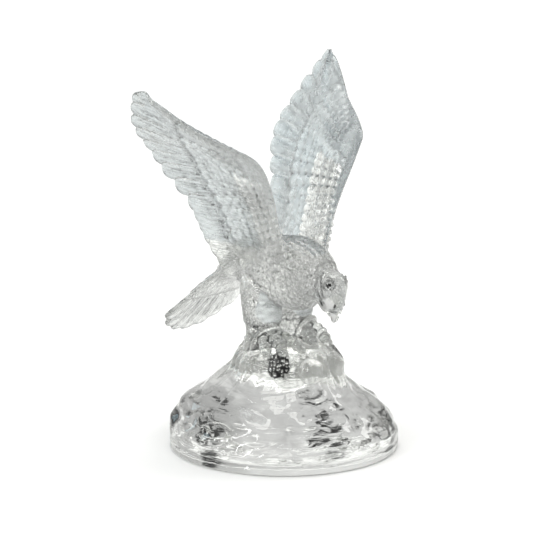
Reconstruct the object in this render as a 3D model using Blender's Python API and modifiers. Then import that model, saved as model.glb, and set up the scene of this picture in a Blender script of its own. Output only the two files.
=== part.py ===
"""Pressed clear-glass eagle alighting with raised wings on a rippled mound, all one piece of glass.

Metres, +Z up. The origin is the middle of the flat underside. The eagle faces -Y, so its own left is +X.
The mound is given in metres. The bird is given in hundredths of its own height above the perch.
"""

import math

import bmesh
import bpy
import numpy as np
from mathutils import Vector, noise

# Driving sizes, in metres
MOUND_RADIUS = 0.0664
MOUND_HEIGHT = 0.0620
RIM_HEIGHT = 0.0042
RIM_STEP = 0.0007
RIPPLE_DEPTH = 0.0030
RIPPLE_LENGTH = 0.0160
RIPPLE_FLATTENING = 1.2
BIRD_HEIGHT = 0.1540
BIRD_FORWARD = 0.0013

# How finely the bird is fused into one skin, and how much of that skin's faces it keeps
SKIN_STEPS = 140
SKIN_EASING = 2
SKIN_KEPT = 0.054

# The mound above its rim: share of the height, share of the radius, and how far the middle moves in X and Y
MOUND_PROFILE = [
    (0.032, 1.000, 0.000, 0.000),
    (0.120, 0.993, -0.005, 0.004),
    (0.196, 0.966, -0.012, 0.010),
    (0.272, 0.922, -0.022, 0.018),
    (0.359, 0.868, -0.034, 0.030),
    (0.434, 0.795, -0.048, 0.040),
    (0.521, 0.695, -0.042, 0.036),
    (0.608, 0.610, -0.036, 0.026),
    (0.695, 0.535, -0.022, 0.010),
    (0.772, 0.485, -0.008, -0.004),
    (0.859, 0.445, -0.006, -0.014),
    (0.935, 0.400, -0.004, -0.024),
    (0.989, 0.320, 0.000, -0.030),
    (1.010, 0.170, 0.000, -0.030),
]
MOUND_SIDES = 72

# Limbs in the bird's middle plane: y, z, half width, half depth
BODY = [
    (39.5, 13.0, 5.0, 1.2),
    (33.0, 19.6, 6.6, 2.8),
    (26.5, 24.4, 8.2, 5.4),
    (19.0, 27.0, 10.0, 8.2),
    (10.0, 28.0, 11.6, 10.6),
    (0.0, 28.3, 12.8, 12.8),
    (-8.0, 28.4, 12.6, 13.6),
    (-15.0, 28.6, 10.6, 11.6),
    (-20.0, 27.6, 8.2, 8.8),
    (-24.0, 25.8, 6.4, 6.8),
]
HEAD = [
    (-23.0, 31.6, 2.8, 2.8),
    (-24.0, 28.8, 5.1, 5.6),
    (-25.0, 25.2, 5.8, 6.6),
    (-25.6, 21.6, 5.1, 5.8),
    (-26.2, 18.8, 3.9, 4.5),
    (-26.7, 17.2, 3.0, 3.6),
]
BEAK = [
    (-26.9, 19.0, 2.9, 3.2),
    (-27.5, 17.4, 2.5, 3.0),
    (-27.5, 15.8, 1.9, 2.4),
    (-26.9, 14.4, 1.2, 1.6),
    (-26.1, 13.2, 0.5, 0.6),
]
# Limbs on the bird's left, mirrored for its right: x, y, z, half width, half depth
LEG = [
    (5.0, 9.6, 27.0, 6.2, 7.4),
    (7.6, 6.8, 20.4, 7.3, 8.2),
    (9.0, 4.8, 13.0, 6.8, 7.2),
    (9.5, 4.0, 8.0, 6.4, 6.6),
    (9.9, 3.4, 4.6, 5.2, 5.6),
    (10.2, 2.8, -2.0, 5.0, 5.8),
]
SHOULDER = [
    (5.0, -4.6, 26.0, 6.2, 6.4),
    (8.4, -5.0, 32.0, 5.4, 5.8),
    (10.8, -5.6, 37.6, 3.6, 4.4),
    (12.6, -6.0, 42.0, 2.4, 2.6),
]
# A toe's five stations each: x, y, z and half thickness, from the foot to the tip of the claw
TOES = {
    "middle": [(10.6, -0.6, 4.6, 2.3), (11.0, -5.2, 3.4, 2.1), (11.2, -8.8, 0.8, 1.8),
               (11.2, -10.6, -2.8, 1.2), (11.0, -10.8, -6.0, 0.5)],
    "inner": [(8.2, -0.6, 4.4, 2.2), (5.8, -5.6, 3.2, 2.0), (4.2, -9.8, 0.8, 1.8),
              (3.6, -11.8, -2.8, 1.2), (3.4, -12.0, -6.0, 0.5)],
    "outer": [(12.2, 1.0, 4.0, 2.2), (13.8, -1.6, 1.6, 2.0), (14.6, -4.2, -1.8, 1.7),
              (14.6, -5.4, -5.2, 1.2), (14.2, -5.4, -8.2, 0.5)],
    "hind": [(10.6, 6.0, 3.4, 2.2), (11.2, 9.6, 1.6, 2.0), (11.6, 12.4, -1.8, 1.7),
             (11.6, 13.4, -5.0, 1.2), (11.4, 13.2, -8.0, 0.5)],
}
# Rocks that the toes hold: x, y, z and radius
ROCKS = [
    (0.5, -14.0, -7.4, 5.6),
    (9.0, -10.5, -6.2, 5.4),
    (-8.6, -10.5, -6.2, 5.2),
    (14.2, 0.0, -6.4, 5.2),
    (-14.2, 1.0, -6.4, 5.6),
    (0.0, -2.5, -5.4, 8.0),
    (0.0, 9.0, -4.6, 7.0),
]
ROCK_LUMPS = 1.6
ROCK_ROUGHNESS = 0.14

# The wing is drawn flat: u runs back along the chord, v up along the span, w towards the wing's upper face
WING_ORIGIN = Vector((10.5, -9.8, 37.5))
WING_BACK = Vector((0.118, 0.991, -0.066))
WING_SPAN = Vector((0.489, 0.0, 0.872))
WING_NORMAL = Vector((-0.864, 0.135, 0.485))
WING_CAMBER = 1.4
# The web that the feathers lie on: v, leading edge, trailing edge, half thickness, and how far the drawing is bowed
WING_WEB = [
    (-17.0, -4.0, 24.0, 7.0, -2.0),
    (-9.0, -3.2, 27.0, 6.0, -1.0),
    (0.0, -1.6, 29.0, 4.6, 0.2),
    (9.0, -1.8, 30.6, 3.7, 2.0),
    (20.0, -3.6, 33.6, 3.1, 4.0),
    (30.0, -5.0, 37.6, 2.7, 4.9),
    (38.0, -5.3, 40.0, 2.4, 5.2),
    (44.0, -3.6, 41.0, 2.2, 4.6),
    (50.0, 4.8, 41.5, 1.9, 3.2),
    (56.5, 16.2, 41.0, 1.7, 2.2),
    (63.0, 25.6, 39.6, 1.4, 1.9),
    (69.0, 33.6, 38.2, 1.1, 2.0),
]
WEB_THINNING = 0.65
# Tips of the flight feathers from the wing's point to its root: u, v, degrees from u, and the chord there
FLIGHT = [
    (41.4, 72.6, 37.0, 46.0),
    (47.8, 60.5, 34.0, 54.0),
    (50.2, 46.0, 15.0, 56.0),
    (48.4, 32.5, 5.0, 52.0),
    (41.2, 18.5, 5.0, 44.0),
    (38.2, 5.0, 4.0, 41.0),
    (33.8, -9.0, 2.0, 36.0),
]
PRIMARIES = 9
SECONDARIES = 6
PRIMARIES_END = 0.667
FLIGHT_HALF_WIDTH = 3.9
FLIGHT_HALF_THICK = 0.95
FLIGHT_REACH = 0.70
FLIGHT_TILT = 0.075
# Rows of coverts: share of the chord where they end on the hand and on the arm, number, length, half width
COVERTS = [
    (0.57, 0.66, 17, 13.0, 2.9),
    (0.40, 0.42, 20, 9.0, 2.3),
    (0.24, 0.26, 22, 6.5, 2.0),
]
COVERT_HALF_THICK = 0.75
COVERT_LIFT = 0.75
COVERT_LEVEL_AT = 0.7
# A feather's root is this share of its width, it is full width this far along, and it starts this abruptly
ROOT_WIDTH = 0.6
FULL_WIDTH_AT = 0.6
ROOT_ROUNDING = 0.04

# The tail fans out behind, sloping down
TAIL_ROOT = Vector((0.0, 25.4, 26.6))
TAIL_ROOT_SPREAD = 5.0
TAIL_SLOPE = 44.0
TAIL_FEATHERS = 7
TAIL_FAN = 15.0
TAIL_LENGTH = 46.5
TAIL_EDGE_SHARE = 0.80
TAIL_HALF_SPAN = 16.0
TAIL_HALF_WIDTH = 3.4
TAIL_HALF_THICK = 1.15
TAIL_TILT = 0.05
TAIL_STEP = 0.4
TAIL_DROOP = 1.2


def clear_scene():
    for old in list(bpy.data.objects):
        bpy.data.objects.remove(old)


def smooth_through(rows, share):
    """The row of numbers at a share from 0 to 1 along the smooth curve through the rows."""
    rows = np.asarray(rows, float)
    place = min(max(share, 0.0), 1.0) * (len(rows) - 1)
    first = min(int(place), len(rows) - 2)
    t = place - first
    before = rows[max(first - 1, 0)]
    start = rows[first]
    end = rows[first + 1]
    after = rows[min(first + 2, len(rows) - 1)]
    leave = (end - before) / 2
    arrive = (after - start) / 2
    return (
        start * (2 * t**3 - 3 * t**2 + 1)
        + leave * (t**3 - 2 * t**2 + t)
        + end * (3 * t**2 - 2 * t**3)
        + arrive * (t**3 - t**2)
    )


def direction(degrees):
    """A unit step in a flat drawing, that many degrees from its first axis."""
    return np.array((math.cos(math.radians(degrees)), math.sin(math.radians(degrees))))


def bird_point(point):
    """A point of the bird, in hundredths of its height above the perch, as metres."""
    unit = BIRD_HEIGHT / 100
    return Vector((point[0] * unit, point[1] * unit - BIRD_FORWARD, point[2] * unit + MOUND_HEIGHT))


def shaped_ball(sides, rings, shape):
    """A ball whose point at (share from pole to pole, angle round) is moved to shape(share, angle)."""
    bm = bmesh.new()
    bmesh.ops.create_uvsphere(bm, u_segments=sides, v_segments=rings, radius=1.0)
    for vert in bm.verts:
        share = math.acos(max(-1.0, min(1.0, vert.co.z))) / math.pi
        vert.co = shape(share, math.atan2(vert.co.y, vert.co.x))
    bmesh.ops.recalc_face_normals(bm, faces=bm.faces)
    return bm


def round_ends(share, length):
    """Shrinks a section near either end, so that the end is round."""
    near = min(share, 1.0 - share) / length
    return math.sqrt(max(0.0, 1.0 - (1.0 - min(near, 1.0)) ** 2))


def limb(stations, sides, rings, mirrored=False, end=0.07):
    """A limb through stations of x, y, z, half width and half depth."""
    step = 0.01
    side = -1.0 if mirrored else 1.0

    def shape(share, angle):
        x, y, z, half_width, half_depth = smooth_through(stations, share)
        ahead = smooth_through(stations, share + step)[:3]
        behind = smooth_through(stations, share - step)[:3]
        along = Vector(ahead - behind).normalized()
        across = (Vector((1, 0, 0)) - along * along.x).normalized()
        deep = along.cross(across)
        outline = across * half_width * math.cos(angle) + deep * half_depth * math.sin(angle)
        point = Vector((x, y, z)) + outline * round_ends(share, end)
        return bird_point((point.x * side, point.y, point.z))

    return shaped_ball(sides, rings, shape)


def in_middle(rows):
    """Stations of a limb in the bird's middle plane."""
    return [(0.0, y, z, half_width, half_depth) for y, z, half_width, half_depth in rows]


def as_round(rows):
    """Stations of a limb that is as deep as it is wide."""
    return [(*row, row[-1]) for row in rows]


def web_at(v):
    """Leading edge, trailing edge, half thickness and bow of the wing's web at a place along the span."""
    spans = [row[0] for row in WING_WEB]
    high = min(max(int(np.searchsorted(spans, v)), 1), len(spans) - 1)
    share = (high - 1 + (v - spans[high - 1]) / (spans[high] - spans[high - 1])) / (len(spans) - 1)
    return smooth_through(WING_WEB, share)[1:]


def web_half_thickness(u, v):
    lead, trail, thick, _ = web_at(v)
    chord = min(max((u - lead) / (trail - lead), 0.0), 1.0)
    return thick * math.sqrt(max(0.0, 1 - (1 - 2 * chord) ** 2)) * (1 - WEB_THINNING * chord)


def wing_point(u, v, w, side):
    """A point of the flat drawing, bowed and cambered, on the wing of that side."""
    lead, trail, _, bow = web_at(v)
    chord = min(max((u - lead) / (trail - lead), 0.0), 1.0)
    rise = w + bow + WING_CAMBER * math.sin(math.pi * chord)
    point = WING_ORIGIN + WING_BACK * u + WING_SPAN * v + WING_NORMAL * rise
    return bird_point((point.x * side, point.y, point.z))


def wing_web(side):
    """The solid web that the feathers lie on, thick along its leading edge."""
    first = WING_WEB[0][0]
    last = WING_WEB[-1][0]

    def shape(share, angle):
        v = first + (last - first) * share
        lead, trail, thick, _ = web_at(v)
        size = round_ends(share, 0.04)
        chord = 0.5 - 0.5 * math.cos(angle) * size
        w = thick * math.sin(angle) * size * (1 - WEB_THINNING * chord)
        return wing_point(lead + (trail - lead) * chord, v, w, side)

    return shaped_ball(14, 36, shape)


def feather(tip, degrees, length, half_width, half_thick, surface, level, tilt=0.0, rings=10):
    """A feather that ends at tip. level(u, v, share) is the height of its middle, and surface places it."""
    along = direction(degrees)
    across = direction(degrees + 90)
    root = np.array(tip) - along * length
    tip_share = min(0.5, half_width / length)

    def shape(share, angle):
        reach = 0.5 - 0.5 * math.cos(math.pi * share)
        wide = ROOT_WIDTH + (1 - ROOT_WIDTH) * min(1.0, reach / FULL_WIDTH_AT)
        past = max(0.0, reach - (1 - tip_share)) / tip_share
        wide *= math.sqrt(max(0.0, 1 - past**2)) * min(1.0, reach / ROOT_ROUNDING)
        sway = half_width * wide * math.cos(angle)
        u, v = root + along * length * reach + across * sway
        thick = half_thick * math.sin(angle) * min(1.0, wide / ROOT_WIDTH)
        return surface(u, v, level(u, v, reach) + thick + tilt * sway)

    return shaped_ball(8, rings, shape)


def flight_share(index):
    """How far along the row of flight feathers, from the wing's point, one feather stands."""
    if index < PRIMARIES:
        return PRIMARIES_END * index / (PRIMARIES - 1)
    return PRIMARIES_END + (1 - PRIMARIES_END) * (index - PRIMARIES + 1) / SECONDARIES


def wing_feathers(side):
    """The primaries and secondaries of one wing."""
    made = []
    for index in range(PRIMARIES + SECONDARIES):
        u, v, degrees, chord = smooth_through(FLIGHT, flight_share(index))
        made.append(
            feather(
                (u, v), degrees, chord * FLIGHT_REACH, FLIGHT_HALF_WIDTH, FLIGHT_HALF_THICK,
                surface=lambda u, v, w: wing_point(u, v, w, side),
                level=lambda u, v, share: 0.0,
                tilt=FLIGHT_TILT,
            )
        )
    return made


def wing_coverts(side):
    """Rows of short feathers on both faces of one wing."""
    made = []
    for hand_end, arm_end, count, length, half_width in COVERTS:
        for index in range(count):
            share = index / (count - 1)
            u, v, degrees, chord = smooth_through(FLIGHT, share)
            ends = hand_end + (arm_end - hand_end) * min(1.0, share / PRIMARIES_END)
            tip = np.array((u, v)) - direction(degrees) * chord * (1 - ends)
            for face in (1.0, -1.0):

                def level(u, v, share):
                    return face * (web_half_thickness(u, v) + COVERT_LIFT * (share - COVERT_LEVEL_AT))

                made.append(
                    feather(
                        tip, degrees, length, half_width, COVERT_HALF_THICK,
                        surface=lambda u, v, w: wing_point(u, v, w, side),
                        level=level,
                        rings=8,
                    )
                )
    return made


def tail_point(u, v, w):
    """A point of the flat drawing of the tail: u back and down, v to the left, w up."""
    slope = math.radians(TAIL_SLOPE)
    back = Vector((0, math.cos(slope), -math.sin(slope)))
    up = Vector((0, math.sin(slope), math.cos(slope)))
    droop = TAIL_DROOP * (u / TAIL_LENGTH) ** 2 * (1 - (v / TAIL_HALF_SPAN) ** 2)
    return bird_point(TAIL_ROOT + back * u + Vector((v, 0, 0)) + up * (w - droop))


def tail_feathers():
    made = []
    middle = (TAIL_FEATHERS - 1) / 2
    for index in range(TAIL_FEATHERS):
        place = (index - middle) / middle
        degrees = place * TAIL_FAN
        length = TAIL_LENGTH * (1 - (1 - TAIL_EDGE_SHARE) * place**2)
        tip = np.array((0.0, place * TAIL_ROOT_SPREAD)) + length * direction(degrees)
        made.append(
            feather(
                tip, degrees, length, TAIL_HALF_WIDTH, TAIL_HALF_THICK,
                surface=tail_point,
                level=lambda u, v, share: -TAIL_STEP * abs(place),
                tilt=-TAIL_TILT * np.sign(place),
                rings=12,
            )
        )
    return made


def rock(x, y, z, radius):
    """A lump of the perch, with a few soft faces."""

    def shape(share, angle):
        polar = math.pi * share
        out = Vector((math.sin(polar) * math.cos(angle), math.sin(polar) * math.sin(angle), math.cos(polar)))
        swell = 1 + ROCK_ROUGHNESS * noise.noise(out * ROCK_LUMPS + Vector((x, y, z)))
        return bird_point(Vector((x, y, z)) + out * radius * swell)

    return shaped_ball(14, 9, shape)


def ripple(place):
    """How far the mound's wavy surface stands out at a place."""
    flow = Vector((place.x, place.y, place.z * RIPPLE_FLATTENING)) / RIPPLE_LENGTH
    return RIPPLE_DEPTH * noise.noise(flow)


def mound():
    """The domed base with its flat underside and plain rim."""
    eased_radius = MOUND_RADIUS - RIM_STEP
    rim_top = RIM_HEIGHT + RIM_STEP
    rise = MOUND_HEIGHT - rim_top
    rings = [(0.0, 0.0, 0.0, 0.0), (0.0, MOUND_RADIUS / 2, 0.0, 0.0), (0.0, eased_radius, 0.0, 0.0)]
    rings += [(RIM_STEP, MOUND_RADIUS, 0.0, 0.0), (RIM_HEIGHT, MOUND_RADIUS, 0.0, 0.0), (rim_top, eased_radius, 0.0, 0.0)]
    plain = len(rings)
    for height, reach, shift_x, shift_y in MOUND_PROFILE:
        rings.append((rim_top + height * rise, reach * MOUND_RADIUS, shift_x * MOUND_RADIUS, shift_y * MOUND_RADIUS))
    top, _, top_x, top_y = rings[-1]
    rings.append((top, 0.0, top_x, top_y))

    def shape(share, angle):
        row = round((1 - share) * (len(rings) - 1))
        height, reach, shift_x, shift_y = rings[row]
        out = Vector((math.cos(angle), math.sin(angle), 0))
        place = Vector((shift_x, shift_y, height)) + out * reach
        if plain <= row < len(rings) - 1:
            place += out * ripple(place)
        return place

    return shaped_ball(MOUND_SIDES, len(rings) - 1, shape)


def bird_shapes():
    """Every shape of the bird, and the rocks under its toes."""
    shapes = [
        limb(in_middle(BODY), 28, 30),
        limb(in_middle(HEAD), 20, 16, end=0.2),
        limb(in_middle(BEAK), 12, 12, end=0.1),
    ]
    for side in (1.0, -1.0):
        mirrored = side < 0
        shapes.append(limb(LEG, 18, 14, mirrored))
        shapes.append(limb(SHOULDER, 16, 12, mirrored, end=0.2))
        shapes += [limb(as_round(toe), 10, 14, mirrored) for toe in TOES.values()]
        shapes.append(wing_web(side))
        shapes += wing_feathers(side)
        shapes += wing_coverts(side)
    shapes += tail_feathers()
    shapes += [rock(*place) for place in ROCKS]
    return shapes


def object_from(name, shapes, material):
    """One object that holds all the shapes."""
    whole = bmesh.new()
    for shape in shapes:
        mesh = bpy.data.meshes.new(name)
        shape.to_mesh(mesh)
        shape.free()
        whole.from_mesh(mesh)
        bpy.data.meshes.remove(mesh)
    mesh = bpy.data.meshes.new(name)
    whole.to_mesh(mesh)
    whole.free()
    mesh.materials.append(material)
    return bpy.data.objects.new(name, mesh)


def fuse(bird):
    """Makes the bird's overlapping shapes one closed skin with few faces."""
    skin = bird.modifiers.new("One skin", "REMESH")
    skin.mode = "VOXEL"
    skin.voxel_size = BIRD_HEIGHT / SKIN_STEPS
    ease = bird.modifiers.new("Ease the seams", "SMOOTH")
    ease.iterations = SKIN_EASING
    thin = bird.modifiers.new("Fewer faces", "DECIMATE")
    thin.ratio = SKIN_KEPT


def glass():
    material = bpy.data.materials.new("clear glass")
    material.use_nodes = True
    shader = material.node_tree.nodes["Principled BSDF"]
    shader.inputs["Base Color"].default_value = (0.93, 0.95, 0.95, 1.0)
    shader.inputs["Roughness"].default_value = 0.04
    shader.inputs["Transmission Weight"].default_value = 1.0
    shader.inputs["IOR"].default_value = 1.53
    return material


def main():
    clear_scene()
    shown = bpy.data.collections.new("Glass eagle")
    helpers = bpy.data.collections.new("Joined into it")
    for collection in (shown, helpers):
        bpy.context.scene.collection.children.link(collection)
    clear = glass()

    bird = object_from("bird", bird_shapes(), clear)
    helpers.objects.link(bird)
    bird.hide_render = True
    bird.display_type = "WIRE"
    fuse(bird)

    eagle = object_from("glass_eagle", [mound()], clear)
    shown.objects.link(eagle)
    join = eagle.modifiers.new("Join the bird", "BOOLEAN")
    join.operation = "UNION"
    join.object = bird


main()
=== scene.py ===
"""The look of a pressed clear-glass eagle on its rippled mound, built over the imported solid.

Metres, +Z up, the eagle faces -Y. The bird is drawn in hundredths of its own height above the perch, as the
solid is.
"""

import math

import bpy
import numpy as np
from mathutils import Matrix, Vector, noise
from mathutils.bvhtree import BVHTree
from mathutils.interpolate import poly_3d_calc


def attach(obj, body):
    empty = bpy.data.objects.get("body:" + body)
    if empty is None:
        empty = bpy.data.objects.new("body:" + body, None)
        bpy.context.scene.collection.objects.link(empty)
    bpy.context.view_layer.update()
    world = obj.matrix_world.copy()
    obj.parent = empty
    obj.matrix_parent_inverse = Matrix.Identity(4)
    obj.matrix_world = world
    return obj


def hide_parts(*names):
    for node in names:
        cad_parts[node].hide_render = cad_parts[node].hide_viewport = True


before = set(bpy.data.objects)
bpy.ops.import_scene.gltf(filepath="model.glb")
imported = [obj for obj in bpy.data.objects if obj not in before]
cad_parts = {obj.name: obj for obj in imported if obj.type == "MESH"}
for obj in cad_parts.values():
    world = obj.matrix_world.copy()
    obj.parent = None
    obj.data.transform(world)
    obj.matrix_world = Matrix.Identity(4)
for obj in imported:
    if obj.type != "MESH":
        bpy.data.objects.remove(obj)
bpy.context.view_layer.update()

# The solid's own sizes, in metres
MOUND_RADIUS = 0.0664
MOUND_HEIGHT = 0.0620
RIM_HEIGHT = 0.0042
RIM_STEP = 0.0007
RIM_CORNER = 0.3
RIPPLE_DEPTH = 0.0030
RIPPLE_LENGTH = 0.0160
RIPPLE_FLATTENING = 1.2
RIPPLE_FADE = 0.012
BIRD_HEIGHT = 0.1540
BIRD_FORWARD = 0.0013
UNIT = BIRD_HEIGHT / 100

# How finely the bird is fused, and how many of its triangles it keeps
SKIN_STEP = 0.00046
SKIN_EASING = 1
BIRD_TRIANGLES = 160000

# The mound above its rim: share of the height, share of the radius, and how far the middle moves in X and Y
MOUND_PROFILE = [
    (0.032, 1.000, 0.000, 0.000),
    (0.120, 0.993, -0.005, 0.004),
    (0.196, 0.966, -0.012, 0.010),
    (0.272, 0.922, -0.022, 0.018),
    (0.359, 0.868, -0.034, 0.030),
    (0.434, 0.795, -0.048, 0.040),
    (0.521, 0.695, -0.042, 0.036),
    (0.608, 0.610, -0.036, 0.026),
    (0.695, 0.535, -0.022, 0.010),
    (0.772, 0.485, -0.008, -0.004),
    (0.859, 0.445, -0.006, -0.014),
    (0.935, 0.400, -0.004, -0.024),
    (0.989, 0.320, 0.000, -0.030),
    (1.010, 0.170, 0.000, -0.030),
]
MOUND_SIDES = 264
MOUND_RINGS = 84
# Lens-shaped dimples low on the mound
DIMPLE_WIDE = 0.0110
DIMPLE_TALL = 0.0052
DIMPLE_DEPTH = 0.0014
DIMPLE_LEVEL = 0.2
# Flutes that run down its shoulders: how closely they stand, how fast they change down it, and their lean
FLUTE_WIDE = 0.0075
FLUTE_DEPTH = 0.0008
FLUTE_CROWD = 0.9
FLUTE_CHANGE = 3.2
FLUTE_LEAN = 0.02
# Shares of the mound's height: the dimples fade in from the first, and above the second are only flutes
DIMPLES_ABOVE = 0.09
DIMPLES_FADE_IN = 0.2
DIMPLES_BELOW = 0.78
DIMPLES_FADE_OUT = 0.22
SEAM_HEADINGS = (-129.4, -9.4, 110.6)
SEAM_HALF_WIDTH = 0.0006
SEAM_HEIGHT = 0.00030

# Limbs in the bird's middle plane: y, z, half width, half depth
BODY = [
    (39.5, 13.0, 5.0, 1.2),
    (33.0, 19.6, 6.6, 2.8),
    (26.5, 24.4, 8.2, 5.4),
    (19.0, 27.0, 10.0, 8.2),
    (10.0, 28.0, 11.6, 10.6),
    (0.0, 28.3, 12.8, 12.8),
    (-8.0, 28.4, 12.6, 13.6),
    (-15.0, 28.6, 10.4, 11.4),
    (-19.4, 27.8, 7.8, 8.6),
    (-22.6, 26.2, 5.4, 5.8),
]
HEAD = [
    (-23.6, 32.6, 3.2, 3.4),
    (-24.4, 29.6, 5.4, 6.0),
    (-25.0, 25.6, 5.9, 6.7),
    (-25.6, 21.6, 5.1, 5.8),
    (-26.2, 18.8, 3.9, 4.5),
    (-26.7, 17.2, 3.0, 3.6),
]
BEAK = [
    (-26.9, 19.0, 2.6, 3.0),
    (-27.4, 17.4, 2.3, 3.0),
    (-27.4, 15.8, 1.8, 2.5),
    (-26.9, 14.4, 1.1, 1.5),
    (-26.1, 13.2, 0.4, 0.5),
]
JAW = [
    (-24.6, 20.0, 2.2, 1.6),
    (-25.0, 17.8, 1.9, 1.4),
    (-25.4, 16.0, 1.3, 1.0),
    (-25.7, 15.0, 0.6, 0.5),
]
# Limbs on the bird's left, mirrored for its right: x, y, z, half width, half depth
LEG = [
    (5.2, 8.6, 27.0, 6.2, 7.2),
    (6.8, 6.4, 20.4, 7.0, 7.9),
    (7.6, 4.8, 13.0, 6.9, 7.3),
    (7.8, 4.2, 8.0, 6.7, 6.9),
    (8.4, 4.0, 3.0, 6.2, 6.4),
    (8.8, 4.2, -4.0, 7.4, 8.0),
]
# The hem of the feathered leg, as deep as it is wide, arches over the foot
HEM = [
    (15.2, 2.8, -1.4, 0.9),
    (14.7, 0.8, 3.6, 1.1),
    (13.1, -1.3, 6.8, 1.2),
    (10.4, -3.1, 7.9, 1.2),
    (7.2, -3.4, 7.3, 1.1),
    (4.7, -2.7, 4.6, 1.0),
    (3.2, -1.7, -0.2, 0.8),
]
SHOULDER = [
    (5.0, -4.6, 26.0, 6.2, 6.4),
    (8.4, -5.0, 32.0, 5.4, 5.8),
    (10.8, -5.6, 37.6, 3.6, 4.4),
    (12.6, -6.0, 42.0, 2.4, 2.6),
]
# The brow, as deep as it is wide
BROW = [
    (3.4, -26.2, 31.2, 0.4),
    (3.9, -27.4, 30.3, 0.6),
    (4.0, -28.4, 29.1, 0.8),
    (3.7, -29.6, 26.8, 0.7),
    (2.7, -30.3, 24.2, 0.4),
]
# Thin limbs as deep as they are wide, so with one half width: the edge of the face behind the cheek
CHEEK = [
    (4.4, -23.6, 32.4, 0.3),
    (5.5, -23.8, 30.1, 0.4),
    (6.0, -23.3, 27.7, 0.4),
    (6.4, -24.6, 25.3, 0.4),
    (5.7, -26.0, 23.0, 0.4),
    (4.4, -27.4, 21.0, 0.3),
]
# Lines in front of the cheek and under the brow
FACE_LINE = [
    (3.6, -24.6, 32.4, 0.3),
    (4.6, -25.0, 31.0, 0.42),
    (5.9, -26.2, 28.6, 0.42),
    (6.0, -26.7, 25.6, 0.42),
    (5.3, -27.6, 23.8, 0.3),
]
BROW_LINE = [
    (4.0, -26.8, 31.4, 0.3),
    (3.1, -28.2, 31.4, 0.36),
    (2.4, -29.6, 30.1, 0.36),
    (2.5, -30.2, 28.2, 0.36),
    (2.7, -30.3, 26.4, 0.3),
]
# A line round the back of the skull, where the neck ends
NAPE = [
    (5.8, -22.4, 31.4, 0.35),
    (4.5, -22.4, 34.3, 0.5),
    (2.7, -22.7, 35.4, 0.5),
    (0.0, -23.2, 35.8, 0.5),
]
# The line of the gape
GAPE = [
    (4.0, -25.6, 21.8, 0.3),
    (3.4, -27.4, 20.4, 0.5),
    (2.6, -28.6, 19.0, 0.5),
    (1.6, -29.4, 17.8, 0.3),
]
LINE_SIDES = 12
LINE_END = 0.15
# A nostril: its place, the way it faces, and half its width, height and thickness
NOSTRIL = (2.4, -30.0, 20.6)
NOSTRIL_FACES = (0.62, -0.78, 0.0)
NOSTRIL_SIZE = (0.5, 0.9, 0.5)
EYE = Vector((4.2, -28.75, 28.7))
EYE_RADIUS = 1.0
# The lid about the eye, and the band where the beak starts: centre, two ways across, radius, half thickness
LID = ((4.25, -28.85, 28.7), (0.65, 0.75, 0.0), (0.0, 0.0, 1.0), 2.05, 0.42)
CERE = ((0.0, -27.0, 18.6), (1.0, 0.0, 0.0), (0.0, 0.97, 0.24), 2.85, 0.40)
RING_STATIONS = 13
RING_END = 0.01
# Stations of the middle, inner, outer and hind toe: x, y, z and half thickness, from the foot to the claw
TOES = [
    [(10.4, -2.6, 5.0, 2.4), (10.9, -7.0, 3.6, 2.3), (11.2, -10.6, 0.6, 2.0), (11.2, -12.4, -3.4, 1.2),
     (11.0, -12.4, -7.0, 0.4)],
    [(7.8, -2.6, 4.8, 2.3), (5.2, -7.4, 3.4, 2.2), (3.4, -11.6, 0.6, 2.0), (2.8, -13.6, -3.4, 1.2),
     (2.6, -13.6, -7.0, 0.4)],
    [(12.0, -0.6, 4.4, 2.3), (14.0, -3.6, 2.6, 2.2), (15.0, -6.2, -0.8, 1.9), (15.2, -7.2, -4.6, 1.1),
     (15.0, -7.0, -8.2, 0.4)],
    [(9.6, 6.0, 3.6, 2.2), (10.0, 8.8, 1.8, 2.0), (10.2, 10.6, -1.8, 1.8), (10.2, 11.2, -5.0, 1.1),
     (10.0, 11.0, -8.0, 0.4)],
]
# A toe's rings: how many, how deep, where along it they end and over how long, and how far each is sunk
TOE_RINGS = 8
TOE_RING_DEPTH = 0.30
TOE_RINGS_END = 0.72
TOE_RINGS_FADE = 0.08
TOE_RING_LEVEL = 0.6
# The smooth patch on a thigh: its middle and half sizes, as a turn about the leg and a share of its length
THIGH_PATCH_TURN = 1.41
THIGH_PATCH_WIDE = 0.95
THIGH_PATCH_AT = 0.38
THIGH_PATCH_TALL = 0.15
# The smooth glass of that patch: where it ends along the leg, its length, half its width and thickness
THIGH_PATCH_END = 0.575
THIGH_PATCH_LENGTH = 12.5
THIGH_PATCH_HALF_WIDTH = 8.0
THIGH_PATCH_HALF_THICK = 0.9
# A patch of crossed black lines over the front toes: its centre, the way it faces, and half its width, height
# and thickness
CROSSED_PATCH = (14.0, -11.8, -4.6)
CROSSED_FACES = (0.62, -0.5, 0.6)
CROSSED_SIZE = (4.4, 5.6, 1.6)
# The black lines each way, as shares of the patch: how many, how far out, how long, their stations, and their
# waver
CROSSED_LINES = 6
CROSSED_SPREAD = 0.78
CROSSED_REACH = 0.92
CROSSED_STATIONS = 9
CROSSED_WAVER = 0.26
CROSSED_LINE_HALF_WIDTH = 0.44
CROSSED_LINE_EVEN = 0.75
CROSSED_LINE_UNEVEN = 1.1
# A ledge of rock that slopes down across the perch
LEDGE = [
    (-7.8, -4.5, 3.6, 0.8, 1.0),
    (-4.0, -7.6, 2.4, 1.3, 1.6),
    (-0.4, -10.4, 0.2, 1.5, 1.8),
    (4.2, -13.2, -2.2, 1.5, 1.8),
    (8.6, -15.4, -4.6, 1.2, 1.4),
]
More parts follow.
